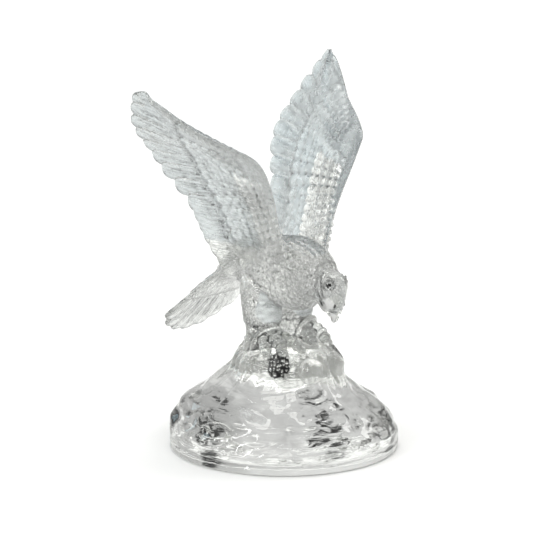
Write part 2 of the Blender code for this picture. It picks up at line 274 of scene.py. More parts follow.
# Rocks that the toes hold: x, y, z and radius
ROCKS = [
    (-4.4, -18.8, -6.8, 5.0),
    (9.4, -14.6, -8.2, 5.6),
    (13.2, -11.4, -9.4, 4.6),
    (-8.6, -10.5, -6.2, 5.2),
    (14.2, 0.0, -6.4, 5.2),
    (-14.2, 1.0, -6.4, 5.6),
    (0.0, -2.5, -5.4, 8.0),
    (0.0, 9.0, -4.6, 7.0),
]
ROCK_LUMPS = 1.6
ROCK_ROUGHNESS = 0.14

# The wing is drawn flat: u runs back along the chord, v up along the span, w towards the wing's upper face
WING_ORIGIN = np.array((10.5, -9.8, 37.5))
WING_BACK = np.array((0.118, 0.991, -0.066))
WING_SPAN = np.array((0.489, 0.0, 0.872))
WING_NORMAL = np.array((-0.864, 0.135, 0.485))
WING_CAMBER = 1.4
# Round ends that are almost square, as a share of the length
SQUARE_END = 0.04
# The web that the feathers lie on: v, leading edge, trailing edge, half thickness, and how far it is bowed
WING_WEB = [
    (-17.0, -4.0, 24.0, 7.0, -2.0),
    (-9.0, -3.2, 27.0, 6.0, -1.0),
    (0.0, -1.6, 29.0, 4.6, 0.2),
    (9.0, -1.8, 30.6, 3.7, 2.0),
    (20.0, -3.6, 33.6, 3.1, 4.0),
    (30.0, -5.0, 37.6, 2.7, 4.9),
    (38.0, -5.3, 40.0, 2.4, 5.2),
    (44.0, -3.6, 41.0, 2.2, 4.6),
    (50.0, 4.8, 41.5, 1.9, 3.2),
    (56.5, 16.2, 41.0, 1.7, 2.2),
    (63.0, 25.6, 39.6, 1.4, 1.9),
    (69.0, 33.6, 38.2, 1.1, 2.0),
]
WEB_THINNING = 0.65
# Tips of the flight feathers from the wing's point to its root: u, v, degrees from u, and the chord there
FLIGHT = [
    (41.4, 72.0, 37.0, 46.0),
    (47.8, 60.5, 34.0, 54.0),
    (50.2, 46.0, 15.0, 56.0),
    (48.4, 32.5, 5.0, 52.0),
    (41.2, 18.5, 5.0, 44.0),
    (38.2, 5.0, 4.0, 41.0),
    (33.8, -9.0, 2.0, 36.0),
]
PRIMARIES = 9
SECONDARIES = 6
PRIMARIES_END = 0.667
FLIGHT_HALF_WIDTH = 3.9
FLIGHT_HALF_THICK = 0.85
FLIGHT_REACH = 0.70
FLIGHT_TILT = 0.095
# How much wider a secondary is than a primary, and how much less it tilts
SECONDARY_WIDER = 1.35
SECONDARY_TILT = 0.5
# A feather's shaft: half width, how far along the feather it reaches, and how much of its width it loses
QUILL_HALF_WIDTH = 0.42
QUILL_REACH = 0.93
QUILL_TAPER = 0.7
# Rows of coverts: share of the chord where they end on the hand and on the arm, number, length, half width
COVERTS = [
    (0.57, 0.66, 17, 13.0, 2.9),
    (0.48, 0.53, 19, 10.5, 2.5),
    (0.40, 0.42, 21, 8.5, 2.2),
    (0.32, 0.33, 23, 6.5, 1.95),
    (0.24, 0.25, 25, 5.2, 1.75),
    (0.17, 0.17, 27, 4.4, 1.6),
    (0.10, 0.10, 29, 3.8, 1.45),
]
COVERT_HALF_THICK = 0.66
COVERT_LIFT = 0.95
COVERT_LEVEL_AT = 0.72
# Coverts of the arm that are shorter than this are domed scales
SCALE_LENGTH = 7.0
SCALES_FROM = 0.45
# The short feathers at the wing's wrist: tip u and v, degrees, length, half width
ALULA = [
    (14.4, 53.4, 48.0, 17.0, 1.7),
    (13.6, 49.6, 44.0, 16.0, 2.0),
]
ALULA_HALF_THICK = 1.3
# A feather's root is this share of its width, it is full width this far along, and it starts this abruptly
ROOT_WIDTH = 0.6
FULL_WIDTH_AT = 0.6
ROOT_ROUNDING = 0.04

# A feather's cross-section: a lens, or a flat blade with round edges
DOMED = 1.0
FLAT = 0.4

# The tail fans out behind, sloping down
TAIL_ROOT = np.array((0.0, 25.4, 26.6))
TAIL_ROOT_SPREAD = 5.0
TAIL_SLOPE = 44.0
TAIL_FEATHERS = 7
TAIL_FAN = 15.0
TAIL_LENGTH = 46.4
TAIL_EDGE_SHARE = 0.80
TAIL_HALF_SPAN = 16.0
TAIL_HALF_WIDTH = 4.1
TAIL_HALF_THICK = 1.05
TAIL_TILT = 0.07
TAIL_STEP = 0.4
TAIL_DROOP = 1.2
TAIL_COVERT_LIFT = 0.8
TAIL_COVERT_LEVEL_AT = 0.6
# Rows of tail coverts: share of the length where they end, number, spread in degrees, length, half width
TAIL_COVERTS = [
    (0.50, 6, 12.0, 13.0, 2.6),
    (0.40, 7, 13.0, 11.0, 2.3),
    (0.30, 6, 12.0, 9.0, 2.1),
]

# Coats of down on a limb: the first and last row and the step between them, the spacing along a row, a
# feather's length and half width, and whether it points to the limb's end, 1, or to its start, -1
BODY_COAT = ((0.14, 0.97, 0.040), 3.0, 5.4, 1.75, -1.0)
LEG_COAT = ((0.12, 0.60, 0.058), 2.9, 5.0, 1.7, 1.0)
SHOULDER_COAT = ((0.1, 0.8, 0.16), 2.8, 4.6, 1.6, -1.0)
DOWN_HALF_THICK = 0.5
DOWN_LIFT = 0.9
DOWN_LEVEL_AT = 0.7
FEWEST_DOWN = 5

# Creases are painted dark as shade. A point whose neighbours stand this far above it, in metres, counts as
# deep in a crease
CREASE_DEPTH = 0.00016
# How much of that painted shade shows where the glass is polished
POLISHED_CREASES = 0.2
# How much faster than the satin the painted shade of the creases comes in
SATIN_CREASES = 1.5
# How many times deeper the shallow creases of the frosted faces count for their painted shade
FROSTED_CREASES = 1.4
# The same for the feet and the rocks, which lie below this height
FEET_CREASES = 2.8
FEET_BELOW = MOUND_HEIGHT + 9 * UNIT

# What a surface is like, kept at each point: satin, barbed like a vane, stippled, and darkened, which is
# painted shade
VANE = (1.0, 1.0, 0.15, 0.0)
DOWN = (0.5, 0.35, 1.0, 0.0)
WEB = (0.6, 0.5, 0.7, 0.0)
SCALE = (0.42, 0.0, 0.0, 0.0)
SKULL = (0.12, 0.0, 0.08, 0.0)
SCUTES = (0.6, 0.0, 0.6, 0.0)
PLAIN = (0.5, 0.0, 0.0, 0.0)
# Frosted and cloudy faces take the frosted colour: painted shade with a bluish painted reflection
FROSTED = (1.0, 0.0, 0.0, 0.0)
CLOUDY = (0.93, 0.0, 0.0, 0.0)
POLISHED = (0.0, 0.0, 0.0, 0.0)
ROCKY = (0.4, 0.6, 0.25, 0.0)
FLOWED = (0.12, 0.3, 0.0, 0.0)
CROSSED = (0.1, 0.0, 0.3, 0.0)
# The last value of the incised lines is painted shade, dark along the lines of the face, the cere and the
# lids
INCISED = (0.4, 0.0, 0.0, 0.8)
# Painted black: painted shade at the eye and the nostril, and the black crossed lines below the toes
PAINTED_BLACK = (0.2, 0.0, 0.0, 1.0)
# The top of the mound is rocky: the share of its height where that starts and fades in, and its radius there
STONY_ABOVE = 0.62
STONY_FADE = 0.30
STONY_RADIUS = 0.024
# The wings' upper faces are frosted where they would be barbed by more than this, above this height, and so
# take the frosted colour's painted shade
WINGS_BARBED = 0.1
WINGS_ABOVE = MOUND_HEIGHT + 38 * UNIT
# Faces that meet at less than this angle are shaded as one
SMOOTH_BELOW = 75.0

# A vane's barbs, to each of the bird's hundredths along and across it, and their shift to a metre of height
BARB_RUN = 0.10
BARB_CROWD = 0.85
BARB_SHIFT = 25.0
# The barbs and the squiggles of down are thin lines of noise: how far from its middle they end and are full,
# how deep they are cut in metres, and how dark they are painted, as shade in the cuts
BARB_EDGES = (0.060, 0.010)
BARB_CUT = 0.00007
BARB_DARK = 0.37
STIPPLE_SCALE = 420.0
STIPPLE_EDGES = (0.085, 0.025)
STIPPLE_CUT = 0.00012
STIPPLE_DARK = 0.54
# Painted shade as dark specks where the stipple is full
SPECK_SCALE = 900.0
SPECK_EDGES = (0.68, 0.76)
SPECK_DARK = 0.75
SPECK_SHARPNESS = 4.0
# The soft waves in the skin of the glass, drawn out down the figurine, and shallower where it is satin
WAVE_SCALE = 150.0
WAVE_DRAWN = 0.4
WAVE_DEPTH = 0.00015
WAVE_LOST = 0.75
# The glass: its index, how rough it is polished, satin and frosted, its unevenness, and its three colours:
# clear, a slightly grey satin colour that is painted shade, and a dark blue-grey frosted colour that is
# painted shade with a bluish painted reflection
GLASS_INDEX = 1.53
POLISHED_ROUGH = 0.005
SATIN_ROUGH = 0.012
FROSTED_ROUGH = 0.26
FROST_SHARPNESS = 3.0
HAZE_SCALE = 240.0
HAZE_LEAST = 0.6
HAZE_SPREAD = 0.8
CLEAR_COLOUR = (0.955, 0.965, 0.94, 1.0)
SATIN_COLOUR = (0.89, 0.905, 0.88, 1.0)
FROSTED_COLOUR = (0.46, 0.51, 0.535, 1.0)
BLACK = (0.0, 0.0, 0.0, 1.0)

# The table top: its radius, its thickness, and how far below the figurine it lies
TABLE_RADIUS = 2.4
TABLE_THICKNESS = 0.03
TABLE_DROP = 0.0004
CARD_COLOUR = (0.93, 0.93, 0.93, 1.0)

# The camera: near enough to a telephoto view that nothing looms
CAMERA_TARGET = Vector((-0.0076, 0.0069, 0.1071))
CAMERA_DISTANCE = 6.0
CAMERA_HEADING = 42.0
CAMERA_RISE = 15.4
CAMERA_LENS = 698.7
SENSOR_WIDTH = 36.0

# The room by how steeply it is seen, from straight down to straight up: place, colour
WORLD_RISE = [
    (0.00, (0.75, 0.75, 0.75)),
    (0.48, (0.80, 0.80, 0.80)),
    (0.52, (0.80, 0.80, 0.80)),
    (0.58, (0.70, 0.70, 0.70)),
    (0.70, (0.62, 0.62, 0.62)),
    (0.84, (0.80, 0.80, 0.80)),
    (1.00, (1.00, 1.00, 1.00)),
]
# How light the room is from behind the camera to behind the figurine, along this heading: place, colour
BACKDROP = (0.669, 0.743, 0.0)
WORLD_DEPTH = [
    (0.00, (0.44, 0.43, 0.42)),
    (0.30, (0.56, 0.56, 0.55)),
    (0.55, (0.88, 0.88, 0.87)),
    (1.00, (1.00, 1.00, 1.00)),
]
# Dark screens beyond the lights: a direction, half the angle that each covers, and how light it is. Their
# soft edges begin at this share of that angle
SCREEN_CORE = 0.75
DARK_SCREENS = [
    (0.934, 0.286, 0.205, 8.0, 0.0),
    (0.363, 0.898, 0.250, 7.5, 0.0),
    (0.960, 0.080, 0.170, 34.0, 0.72),
]
# Soft boxes and strip lights, all aimed at one point: place, width, height, watts, colour
LIGHTS_AIM = (0.0, 0.0, 0.1)
SOFT_BOXES = [
    ("soft box above", (0.2, 0.2, 2.5), 1.6, 1.6, 38.0, (1.0, 1.0, 0.97)),
    ("soft box right", (2.2, -0.6, 1.2), 0.5, 1.3, 8.0, (1.0, 1.0, 0.98)),
    ("strip light left", (-2.1, -0.35, 1.05), 0.1, 1.3, 6.0, (1.0, 1.0, 1.0)),
    ("strip light over the back", (-1.8, 0.33, 1.3), 0.2, 0.9, 6.0, (1.0, 1.0, 1.0)),
    ("cool panel", (-0.8, 1.9, 0.75), 0.8, 0.8, 3.6, (0.66, 0.90, 1.0)),
]


def smooth_rows(rows, shares):
    """Rows of numbers at shares from 0 to 1 along the smooth curves through the given rows."""
    rows = np.asarray(rows, float)
    place = np.clip(np.asarray(shares, float), 0.0, 1.0) * (len(rows) - 1)
    first = np.minimum(place.astype(int), len(rows) - 2)
    t = (place - first)[..., None]
    before = rows[np.maximum(first - 1, 0)]
    start = rows[first]
    end = rows[first + 1]
    after = rows[np.minimum(first + 2, len(rows) - 1)]
    leave = (end - before) / 2
    arrive = (after - start) / 2
    return (
        start * (2 * t**3 - 3 * t**2 + 1)
        + leave * (t**3 - 2 * t**2 + t)
        + end * (3 * t**2 - 2 * t**3)
        + arrive * (t**3 - t**2)
    )


def ramp(value, start, length):
    """0 before start, 1 after that length, and straight in between. A length below 0 runs the other way."""
    return np.clip((value - start) / length, 0.0, 1.0)


def direction(degrees):
    """A unit step in a flat drawing, that many degrees from its first axis."""
    return np.array((math.cos(math.radians(degrees)), math.sin(math.radians(degrees))))


def unit(rows):
    return rows / np.maximum(np.linalg.norm(rows, axis=-1, keepdims=True), 1e-9)


def bird_points(points):
    """Points of the bird, in hundredths of its height above the perch, as metres."""
    return np.asarray(points) * UNIT + np.array((0.0, -BIRD_FORWARD, MOUND_HEIGHT))


def mirrored(points, side):
    return points * np.array((side, 1.0, 1.0))


def add_to_scene(piece):
    bpy.context.scene.collection.objects.link(piece)


def deselect_all():
    if bpy.context.active_object and bpy.context.active_object.mode != "OBJECT":
        bpy.ops.object.mode_set(mode="OBJECT")
    bpy.ops.object.select_all(action="DESELECT")


def only(piece):
    """Selects one piece alone and makes it active."""
    deselect_all()
    piece.select_set(True)
    bpy.context.view_layer.objects.active = piece


def apply_modifier(piece, name, kind, **settings):
    only(piece)
    modifier = piece.modifiers.new(name, kind)
    for setting, value in settings.items():
        setattr(modifier, setting, value)
    bpy.ops.object.modifier_apply(modifier=modifier.name)


def face_outwards(piece):
    only(piece)
    bpy.ops.object.mode_set(mode="EDIT")
    bpy.ops.mesh.select_all(action="SELECT")
    bpy.ops.mesh.normals_make_consistent(inside=False)
    bpy.ops.object.mode_set(mode="OBJECT")


def twin(piece, name):
    """A copy of a piece that has a mesh of its own."""
    made = piece.copy()
    made.data = piece.data.copy()
    made.name = name
    add_to_scene(made)
    return made


def remove(piece):
    mesh = piece.data
    bpy.data.objects.remove(piece)
    bpy.data.meshes.remove(mesh)


def read(items, name, width=1, kind=float):
    """One property of all the items, as a row for each where it is more than one number."""
    values = np.empty(len(items) * width, kind)
    items.foreach_get(name, values)
    return values.reshape(-1, width) if width > 1 else values


def coordinates(mesh):
    return read(mesh.vertices, "co", 3)


BLANKS = {}


def blank_ball(sides, rings):
    """A ball to shape: its points' shares of the way between the poles and angles, and its faces' corners."""
    if (sides, rings) not in BLANKS:
        bpy.ops.mesh.primitive_uv_sphere_add(segments=sides, ring_count=rings, radius=1.0)
        ball = bpy.context.active_object
        places = coordinates(ball.data)
        share = np.arccos(np.clip(places[:, 2], -1.0, 1.0)) / math.pi
        angle = np.arctan2(places[:, 1], places[:, 0])
        corners = read(ball.data.loops, "vertex_index", kind=int)
        sizes = read(ball.data.polygons, "loop_total", kind=int)
        BLANKS[(sides, rings)] = (share, angle, corners, sizes)
        remove(ball)
    return BLANKS[(sides, rings)]


def shell(sides, rings, shape, finish_and_painted_shade):
    """A closed shell. shape(share, angle) gives its points, and for its barbs the way along and across it."""
    share, angle, corners, sizes = blank_ball(sides, rings)
    places, along, across = shape(share, angle)
    lines = np.stack([np.broadcast_to(along, share.shape), np.broadcast_to(across, share.shape)], axis=1)
    return places, lines, corners, sizes, finish_and_painted_shade


def round_ends(share, length):
    """Shrinks a section near either end, so that the end is round."""
    near = np.minimum(np.minimum(share, 1.0 - share) / length, 1.0)
    return np.sqrt(np.maximum(0.0, 1.0 - (1.0 - near) ** 2))


def limb_frame(stations, share):
    """A limb's middle, its two directions across and its two half sizes at shares along it."""
    step = 0.01
    rows = smooth_rows(stations, share)
    ahead = smooth_rows(stations, share + step)[..., :3]
    behind = smooth_rows(stations, share - step)[..., :3]
    along = unit(ahead - behind)
    across = unit(np.array((1.0, 0.0, 0.0)) - along * along[..., :1])
    return rows[..., :3], across, np.cross(along, across), rows[..., 3:4], rows[..., 4:5]


def limb_length(stations):
    return np.linalg.norm(np.diff(np.asarray(stations)[:, :3], axis=0), axis=1).sum()


def limb(stations, sides, rings, finish_and_painted_shade, side=1.0, end=0.07, swell=None):
    """A limb through stations of x, y, z, half width and half depth. swell(share) scales its thickness."""

    def shape(share, angle):
        middle, across, deep, half_width, half_depth = limb_frame(stations, share)
        turn = angle[:, None]
        outline = across * half_width * np.cos(turn) + deep * half_depth * np.sin(turn)
        size = round_ends(share, end)
        if swell:
            size = size * swell(share)
        points = mirrored(middle + outline * size[:, None], side)
        return bird_points(points), share * limb_length(stations), angle * half_width[:, 0]

    return shell(sides, rings, shape, finish_and_painted_shade)


def in_middle(rows):
    """Stations of a limb in the bird's middle plane."""
    return [(0.0, y, z, half_width, half_depth) for y, z, half_width, half_depth in rows]


def as_round(rows):
    """Stations of a limb that is as deep as it is wide."""
    return [(*row, row[-1]) for row in rows]


def web_at(v):
    """Leading edge, trailing edge, half thickness and bow of the wing's web at places along the span."""
    spans = np.array([row[0] for row in WING_WEB])
    high = np.clip(np.searchsorted(spans, v), 1, len(spans) - 1)
    share = (high - 1 + (v - spans[high - 1]) / (spans[high] - spans[high - 1])) / (len(spans) - 1)
    rows = smooth_rows(WING_WEB, share)
    return rows[..., 1], rows[..., 2], rows[..., 3], rows[..., 4]


def web_half_thickness(u, v):
    lead, trail, thick, _ = web_at(v)
    chord = np.clip((u - lead) / (trail - lead), 0.0, 1.0)
    return thick * np.sqrt(np.maximum(0.0, 1 - (1 - 2 * chord) ** 2)) * (1 - WEB_THINNING * chord)


def wing_points(u, v, w, side):
    """Points of the flat drawing, bowed and cambered, on the wing of that side."""
    lead, trail, _, bow = web_at(v)
    chord = np.clip((u - lead) / (trail - lead), 0.0, 1.0)
    rise = w + bow + WING_CAMBER * np.sin(math.pi * chord)
    points = WING_ORIGIN + np.outer(u, WING_BACK) + np.outer(v, WING_SPAN) + np.outer(rise, WING_NORMAL)
    return bird_points(mirrored(points, side))


def on_wing(side):
    return lambda u, v, w: wing_points(u, v, w, side)


def wing_web(side):
    """The solid web that the feathers lie on, thick along its leading edge."""
    first = WING_WEB[0][0]
    last = WING_WEB[-1][0]

    def shape(share, angle):
        v = first + (last - first) * share
        lead, trail, thick, _ = web_at(v)
        size = round_ends(share, SQUARE_END)
        chord = 0.5 - 0.5 * np.cos(angle) * size
        w = thick * np.sin(angle) * size * (1 - WEB_THINNING * chord)
        u = lead + (trail - lead) * chord
        return wing_points(u, v, w, side), u, v

    return shell(40, 90, shape, WEB)


def feather(
    tip, degrees, length, half_width, half_thick, surface, level=lambda u, v, share: 0.0,
    tilt=0.0, section=DOMED, sides=12, rings=14, finish_and_painted_shade=VANE,
):
    """A feather that ends at tip. level(u, v, share) is the height of its middle, and surface places it."""
    along = direction(degrees)
    across = direction(degrees + 90)
    root = np.array(tip) - along * length
    tip_share = min(0.5, half_width / length)

    def shape(share, angle):
        reach = 0.5 - 0.5 * np.cos(math.pi * share)
        wide = ROOT_WIDTH + (1 - ROOT_WIDTH) * np.minimum(1.0, reach / FULL_WIDTH_AT)
        past = np.maximum(0.0, reach - (1 - tip_share)) / tip_share
        wide = wide * np.sqrt(np.maximum(0.0, 1 - past**2)) * np.minimum(1.0, reach / ROOT_ROUNDING)
        sway = half_width * wide * np.cos(angle)
        u, v = root[:, None] + np.outer(along, length * reach) + np.outer(across, sway)
        bulge = np.sign(np.sin(angle)) * np.abs(np.sin(angle)) ** section
        thick = half_thick * bulge * np.minimum(1.0, wide / ROOT_WIDTH)
        return surface(u, v, level(u, v, reach) + thick + tilt * sway), length * reach, sway

    return shell(sides, rings, shape, finish_and_painted_shade)


def quill(tip, degrees, length, surface, height):
    """The raised shaft down the middle of a feather, thinning to nothing before its tip."""
    along = direction(degrees)
    across = direction(degrees + 90)
    root = np.array(tip) - along * length

    def shape(share, angle):
        reach = share * QUILL_REACH
        size = QUILL_HALF_WIDTH * (1.0 - QUILL_TAPER * share) * round_ends(share, SQUARE_END)
        u, v = root[:, None] + np.outer(along, length * reach) + np.outer(across, size * np.cos(angle))
        return surface(u, v, height + size * np.sin(angle)), length * reach, 0.0

    return shell(8, 24, shape, PLAIN)


def flight_share(index):
    """How far along the row of flight feathers, from the wing's point, one feather stands."""
    if index < PRIMARIES:
        return PRIMARIES_END * index / (PRIMARIES - 1)
    return PRIMARIES_END + (1 - PRIMARIES_END) * (index - PRIMARIES + 1) / SECONDARIES


def wing_feathers(side):
    """The primaries and secondaries of one wing, with their shafts on its lower face."""
    made = []
    surface = on_wing(side)
    for index in range(PRIMARIES + SECONDARIES):
        u, v, degrees, chord = smooth_rows(FLIGHT, flight_share(index))
        length = chord * FLIGHT_REACH
        wider, tilted = (SECONDARY_WIDER, SECONDARY_TILT) if index >= PRIMARIES else (1.0, 1.0)
        vane = feather(
            (u, v), degrees, length, FLIGHT_HALF_WIDTH * wider, FLIGHT_HALF_THICK, surface,
            tilt=FLIGHT_TILT * tilted, section=FLAT, sides=28, rings=30,
        )
        made += [vane, quill((u, v), degrees, length, surface, -FLIGHT_HALF_THICK)]
    return made


def wing_coverts(side):
    """Rows of short feathers on both faces of one wing, in which those near the shoulder are scales."""
    made = []
    for hand_end, arm_end, count, length, half_width in COVERTS:
        for index in range(count):
            share = index / (count - 1)
            u, v, degrees, chord = smooth_rows(FLIGHT, share)
            ends = hand_end + (arm_end - hand_end) * min(1.0, share / PRIMARIES_END)
            tip = np.array((u, v)) - direction(degrees) * chord * (1 - ends)
            scaly = length < SCALE_LENGTH and share > SCALES_FROM
            for face, scale_finish in ((1.0, SCALE), (-1.0, WEB)):

                def level(u, v, share):
                    return face * (web_half_thickness(u, v) + COVERT_LIFT * (share - COVERT_LEVEL_AT))

                made.append(
                    feather(
                        tip, degrees, length, half_width, COVERT_HALF_THICK, on_wing(side), level,
                        section=DOMED if scaly else FLAT,
                        finish_and_painted_shade=scale_finish if scaly else VANE,
                    )
                )
    return made


def wrist_feathers(side):
    return [
        feather((u, v), degrees, length, half_width, ALULA_HALF_THICK, on_wing(side), sides=16, rings=20)
        for u, v, degrees, length, half_width in ALULA
    ]


def tail_points(u, v, w):
    """Points of the flat drawing of the tail: u back and down, v to the left, w up."""
    slope = math.radians(TAIL_SLOPE)
    back = np.array((0.0, math.cos(slope), -math.sin(slope)))
    up = np.array((0.0, math.sin(slope), math.cos(slope)))
    droop = TAIL_DROOP * (u / TAIL_LENGTH) ** 2 * (1 - (v / TAIL_HALF_SPAN) ** 2)
    return bird_points(TAIL_ROOT + np.outer(u, back) + np.outer(v, (1.0, 0.0, 0.0)) + np.outer(w - droop, up))


def tail_feathers():
    """The fanned tail feathers with their shafts, and the rows of coverts over their roots."""
    made = []
    middle = (TAIL_FEATHERS - 1) / 2
    for index in range(TAIL_FEATHERS):
        place = (index - middle) / middle
        degrees = place * TAIL_FAN
        length = TAIL_LENGTH * (1 - (1 - TAIL_EDGE_SHARE) * place**2)
        tip = np.array((0.0, place * TAIL_ROOT_SPREAD)) + length * direction(degrees)
        sunk = TAIL_STEP * abs(place)
        made.append(
            feather(
                tip, degrees, length, TAIL_HALF_WIDTH, TAIL_HALF_THICK, tail_points,
                level=lambda u, v, share: -sunk,
                tilt=-TAIL_TILT * np.sign(place),
                section=FLAT,
                sides=28,
                rings=30,
            )
        )
        for height in (TAIL_HALF_THICK, -TAIL_HALF_THICK):
            made.append(quill(tip, degrees, length, tail_points, height - sunk))
    for end, count, spread, length, half_width in TAIL_COVERTS:
        for index in range(count):
            place = 2 * index / (count - 1) - 1
            degrees = place * spread
            tip = np.array((0.0, place * TAIL_ROOT_SPREAD)) + end * TAIL_LENGTH * direction(degrees)
            for face in (1.0, -1.0):

                def level(u, v, share):
                    return face * (TAIL_HALF_THICK + TAIL_COVERT_LIFT * (share - TAIL_COVERT_LEVEL_AT))

                made.append(feather(tip, degrees, length, half_width, COVERT_HALF_THICK, tail_points, level))
    return made


def smooth_thigh(share, turn):
    """Whether a place on the leg lies on the smooth patch on the outside of the thigh."""
    apart = (turn - THIGH_PATCH_TURN + math.pi) % (2 * math.pi) - math.pi
    return (apart / THIGH_PATCH_WIDE) ** 2 + ((share - THIGH_PATCH_AT) / THIGH_PATCH_TALL) ** 2 < 1.0


def on_limb(stations, tip_share, turn, radius, towards, side):
    """A surface on a limb: u runs along it from tip_share, v round it from turn, and w stands off it."""
    length = limb_length(stations)

    def surface(u, v, w):
        middle, across, deep, wide, high = limb_frame(stations, tip_share + towards * u / length)
        angle = (turn + v / radius)[:, None]
        outline = across * (wide + w[:, None]) * np.cos(angle) + deep * (high + w[:, None]) * np.sin(angle)
        return bird_points(mirrored(middle + outline, side))

    return surface


def thigh_patch(side):
    """The smooth frosted patch on the outside of one thigh. Its blue-grey frosted colour is a painted
    reflection.
    """
    surface = on_limb(LEG, THIGH_PATCH_END, THIGH_PATCH_TURN, THIGH_PATCH_HALF_WIDTH, 1.0, side)
    return feather(
        (0.0, 0.0), 0.0, THIGH_PATCH_LENGTH, THIGH_PATCH_HALF_WIDTH, THIGH_PATCH_HALF_THICK, surface,
        section=FLAT, sides=48, rings=40, finish_and_painted_shade=CLOUDY,
    )


def coat(stations, rows, side=1.0, skip=None):
    """Rows of small feathers that lie on a limb, apart from where skip(share, turn) is true."""
    made = []
    (first, last, step), spacing, length, half_width, towards = rows
    for row, tip_share in enumerate(np.arange(first, last, step)):
        _, _, _, half_w, half_d = limb_frame(stations, np.array([tip_share]))
        radius = float(half_w[0, 0] + half_d[0, 0]) / 2
        count = max(FEWEST_DOWN, round(2 * math.pi * radius / spacing))
        for index in range(count):
            turn = 2 * math.pi * (index + 0.5 * (row % 2)) / count
            if skip and skip(tip_share, turn):
                continue
            made.append(
                feather(
                    (0.0, 0.0), 0.0, length, half_width, DOWN_HALF_THICK,
                    surface=on_limb(stations, tip_share, turn, radius, towards, side),
                    level=lambda u, v, share: DOWN_LIFT * (share - DOWN_LEVEL_AT),
                    sides=8,
                    rings=8,
                    finish_and_painted_shade=DOWN,
                )
            )
    return made


def ball_ways(share, angle):
    """The ways from the middle of a ball to its points."""
    polar = math.pi * share
    return np.stack([np.sin(polar) * np.cos(angle), np.sin(polar) * np.sin(angle), np.cos(polar)], axis=1)


def across_and_up(facing):
    """The two ways across something that faces that way."""
    across = unit(np.cross(facing, (0.0, 0.0, 1.0)))
    return across, np.cross(across, facing)


def lens(centre, facing, size, finish_and_painted_shade, side=1.0):
    """A smooth flattened ball that faces one way: half its width, height and thickness."""
    across, up = across_and_up(facing)

    def shape(share, angle):
        points = np.array(centre) + ball_ways(share, angle) * size @ np.array((across, up, facing))
        return bird_points(mirrored(points, side)), share, angle

    return shell(48, 32, shape, finish_and_painted_shade)


def eyeball(side):
    def shape(share, angle):
        points = np.array(EYE) + ball_ways(share, angle) * EYE_RADIUS
        return bird_points(mirrored(points, side)), share, angle

    return shell(20, 14, shape, PAINTED_BLACK)


def crossed_black_lines(side):
    """A patch of glass with black lines that cross. The numbers in the noise only pick a place in it."""
    across, up = across_and_up(CROSSED_FACES)
    wide, tall, thick = CROSSED_SIZE
    made = [lens(CROSSED_PATCH, CROSSED_FACES, CROSSED_SIZE, CROSSED, side)]
    for offset in np.linspace(-CROSSED_SPREAD, CROSSED_SPREAD, CROSSED_LINES):
        reach = math.sqrt(1 - offset**2) * CROSSED_REACH
        for upright in (True, False):
            black_line = []
            for run in np.linspace(-reach, reach, CROSSED_STATIONS):
                chance = noise.noise(Vector((offset * 9.1, run * 2.7, 3.0 + upright)))
                aside = offset + CROSSED_WAVER * chance
                first, second = (aside, run) if upright else (run, aside)
                out = math.sqrt(max(0.0, 1 - first**2 - second**2)) * thick
                place = np.array(CROSSED_PATCH) + across * wide * first + up * tall * second
                place = place + np.array(CROSSED_FACES) * out
                uneven = noise.noise(Vector((run * 3.3, offset * 7.7, upright)))
                half = CROSSED_LINE_HALF_WIDTH * (CROSSED_LINE_EVEN + CROSSED_LINE_UNEVEN * uneven)
                black_line.append((*place, half))
            made.append(limb(as_round(black_line), 10, 24, PAINTED_BLACK, side, end=0.05))
    return made


def ring(centre, first, second, radius, half_thick):
    """Stations of a limb that runs once round a circle in the plane of two directions."""
    across = unit(np.array(first))
    up = unit(np.array(second) - across * np.dot(across, second))
    turns = np.radians(np.linspace(0.0, 360.0, RING_STATIONS))
    ways = [across * math.cos(turn) + up * math.sin(turn) for turn in turns]
    return as_round([(*(np.array(centre) + radius * way), half_thick) for way in ways])


def rock(x, y, z, radius):
    """A lump of the perch, with a few soft faces."""
    centre = Vector((x, y, z))

    def shape(share, angle):
        out = ball_ways(share, angle)
        swell = [1 + ROCK_ROUGHNESS * noise.noise(Vector(way) * ROCK_LUMPS + centre) for way in out]
        points = np.array(centre) + out * radius * np.array(swell)[:, None]
        return bird_points(points), 2 * share * radius, angle * radius

    return shell(40, 24, shape, ROCKY)


def head():
    """The skull, beak and jaw, and on each side the lines of the face, a nostril, an eye and its lid."""
    made = [
        limb(in_middle(HEAD), 48, 40, SKULL, end=0.2),
        limb(in_middle(BEAK), 32, 28, POLISHED, end=0.1),
        limb(in_middle(JAW), 24, 20, POLISHED, end=0.1),
        limb(ring(*CERE), LINE_SIDES, 48, INCISED, end=RING_END),
    ]
    for side in (1.0, -1.0):
        made.append(limb(as_round(BROW), 16, 24, DOWN, side, end=LINE_END))
        for line, rings in ((CHEEK, 24), (FACE_LINE, 24), (BROW_LINE, 24), (NAPE, 24), (GAPE, 20)):
            made.append(limb(as_round(line), LINE_SIDES, rings, INCISED, side, end=LINE_END))
        made.append(limb(ring(*LID), LINE_SIDES, 40, INCISED, side, end=RING_END))
        made.append(lens(NOSTRIL, NOSTRIL_FACES, NOSTRIL_SIZE, PAINTED_BLACK, side))
        made.append(eyeball(side))
    return made


def foot(side):
    """Four ringed toes with smooth claws."""

    def ringed(share):
        wave = np.abs(np.sin(math.pi * TOE_RINGS * share))
        return 1.0 + TOE_RING_DEPTH * ramp(share, TOE_RINGS_END, -TOE_RINGS_FADE) * (wave - TOE_RING_LEVEL)

    return [limb(as_round(toe), 20, 64, SCUTES, side, swell=ringed) for toe in TOES]


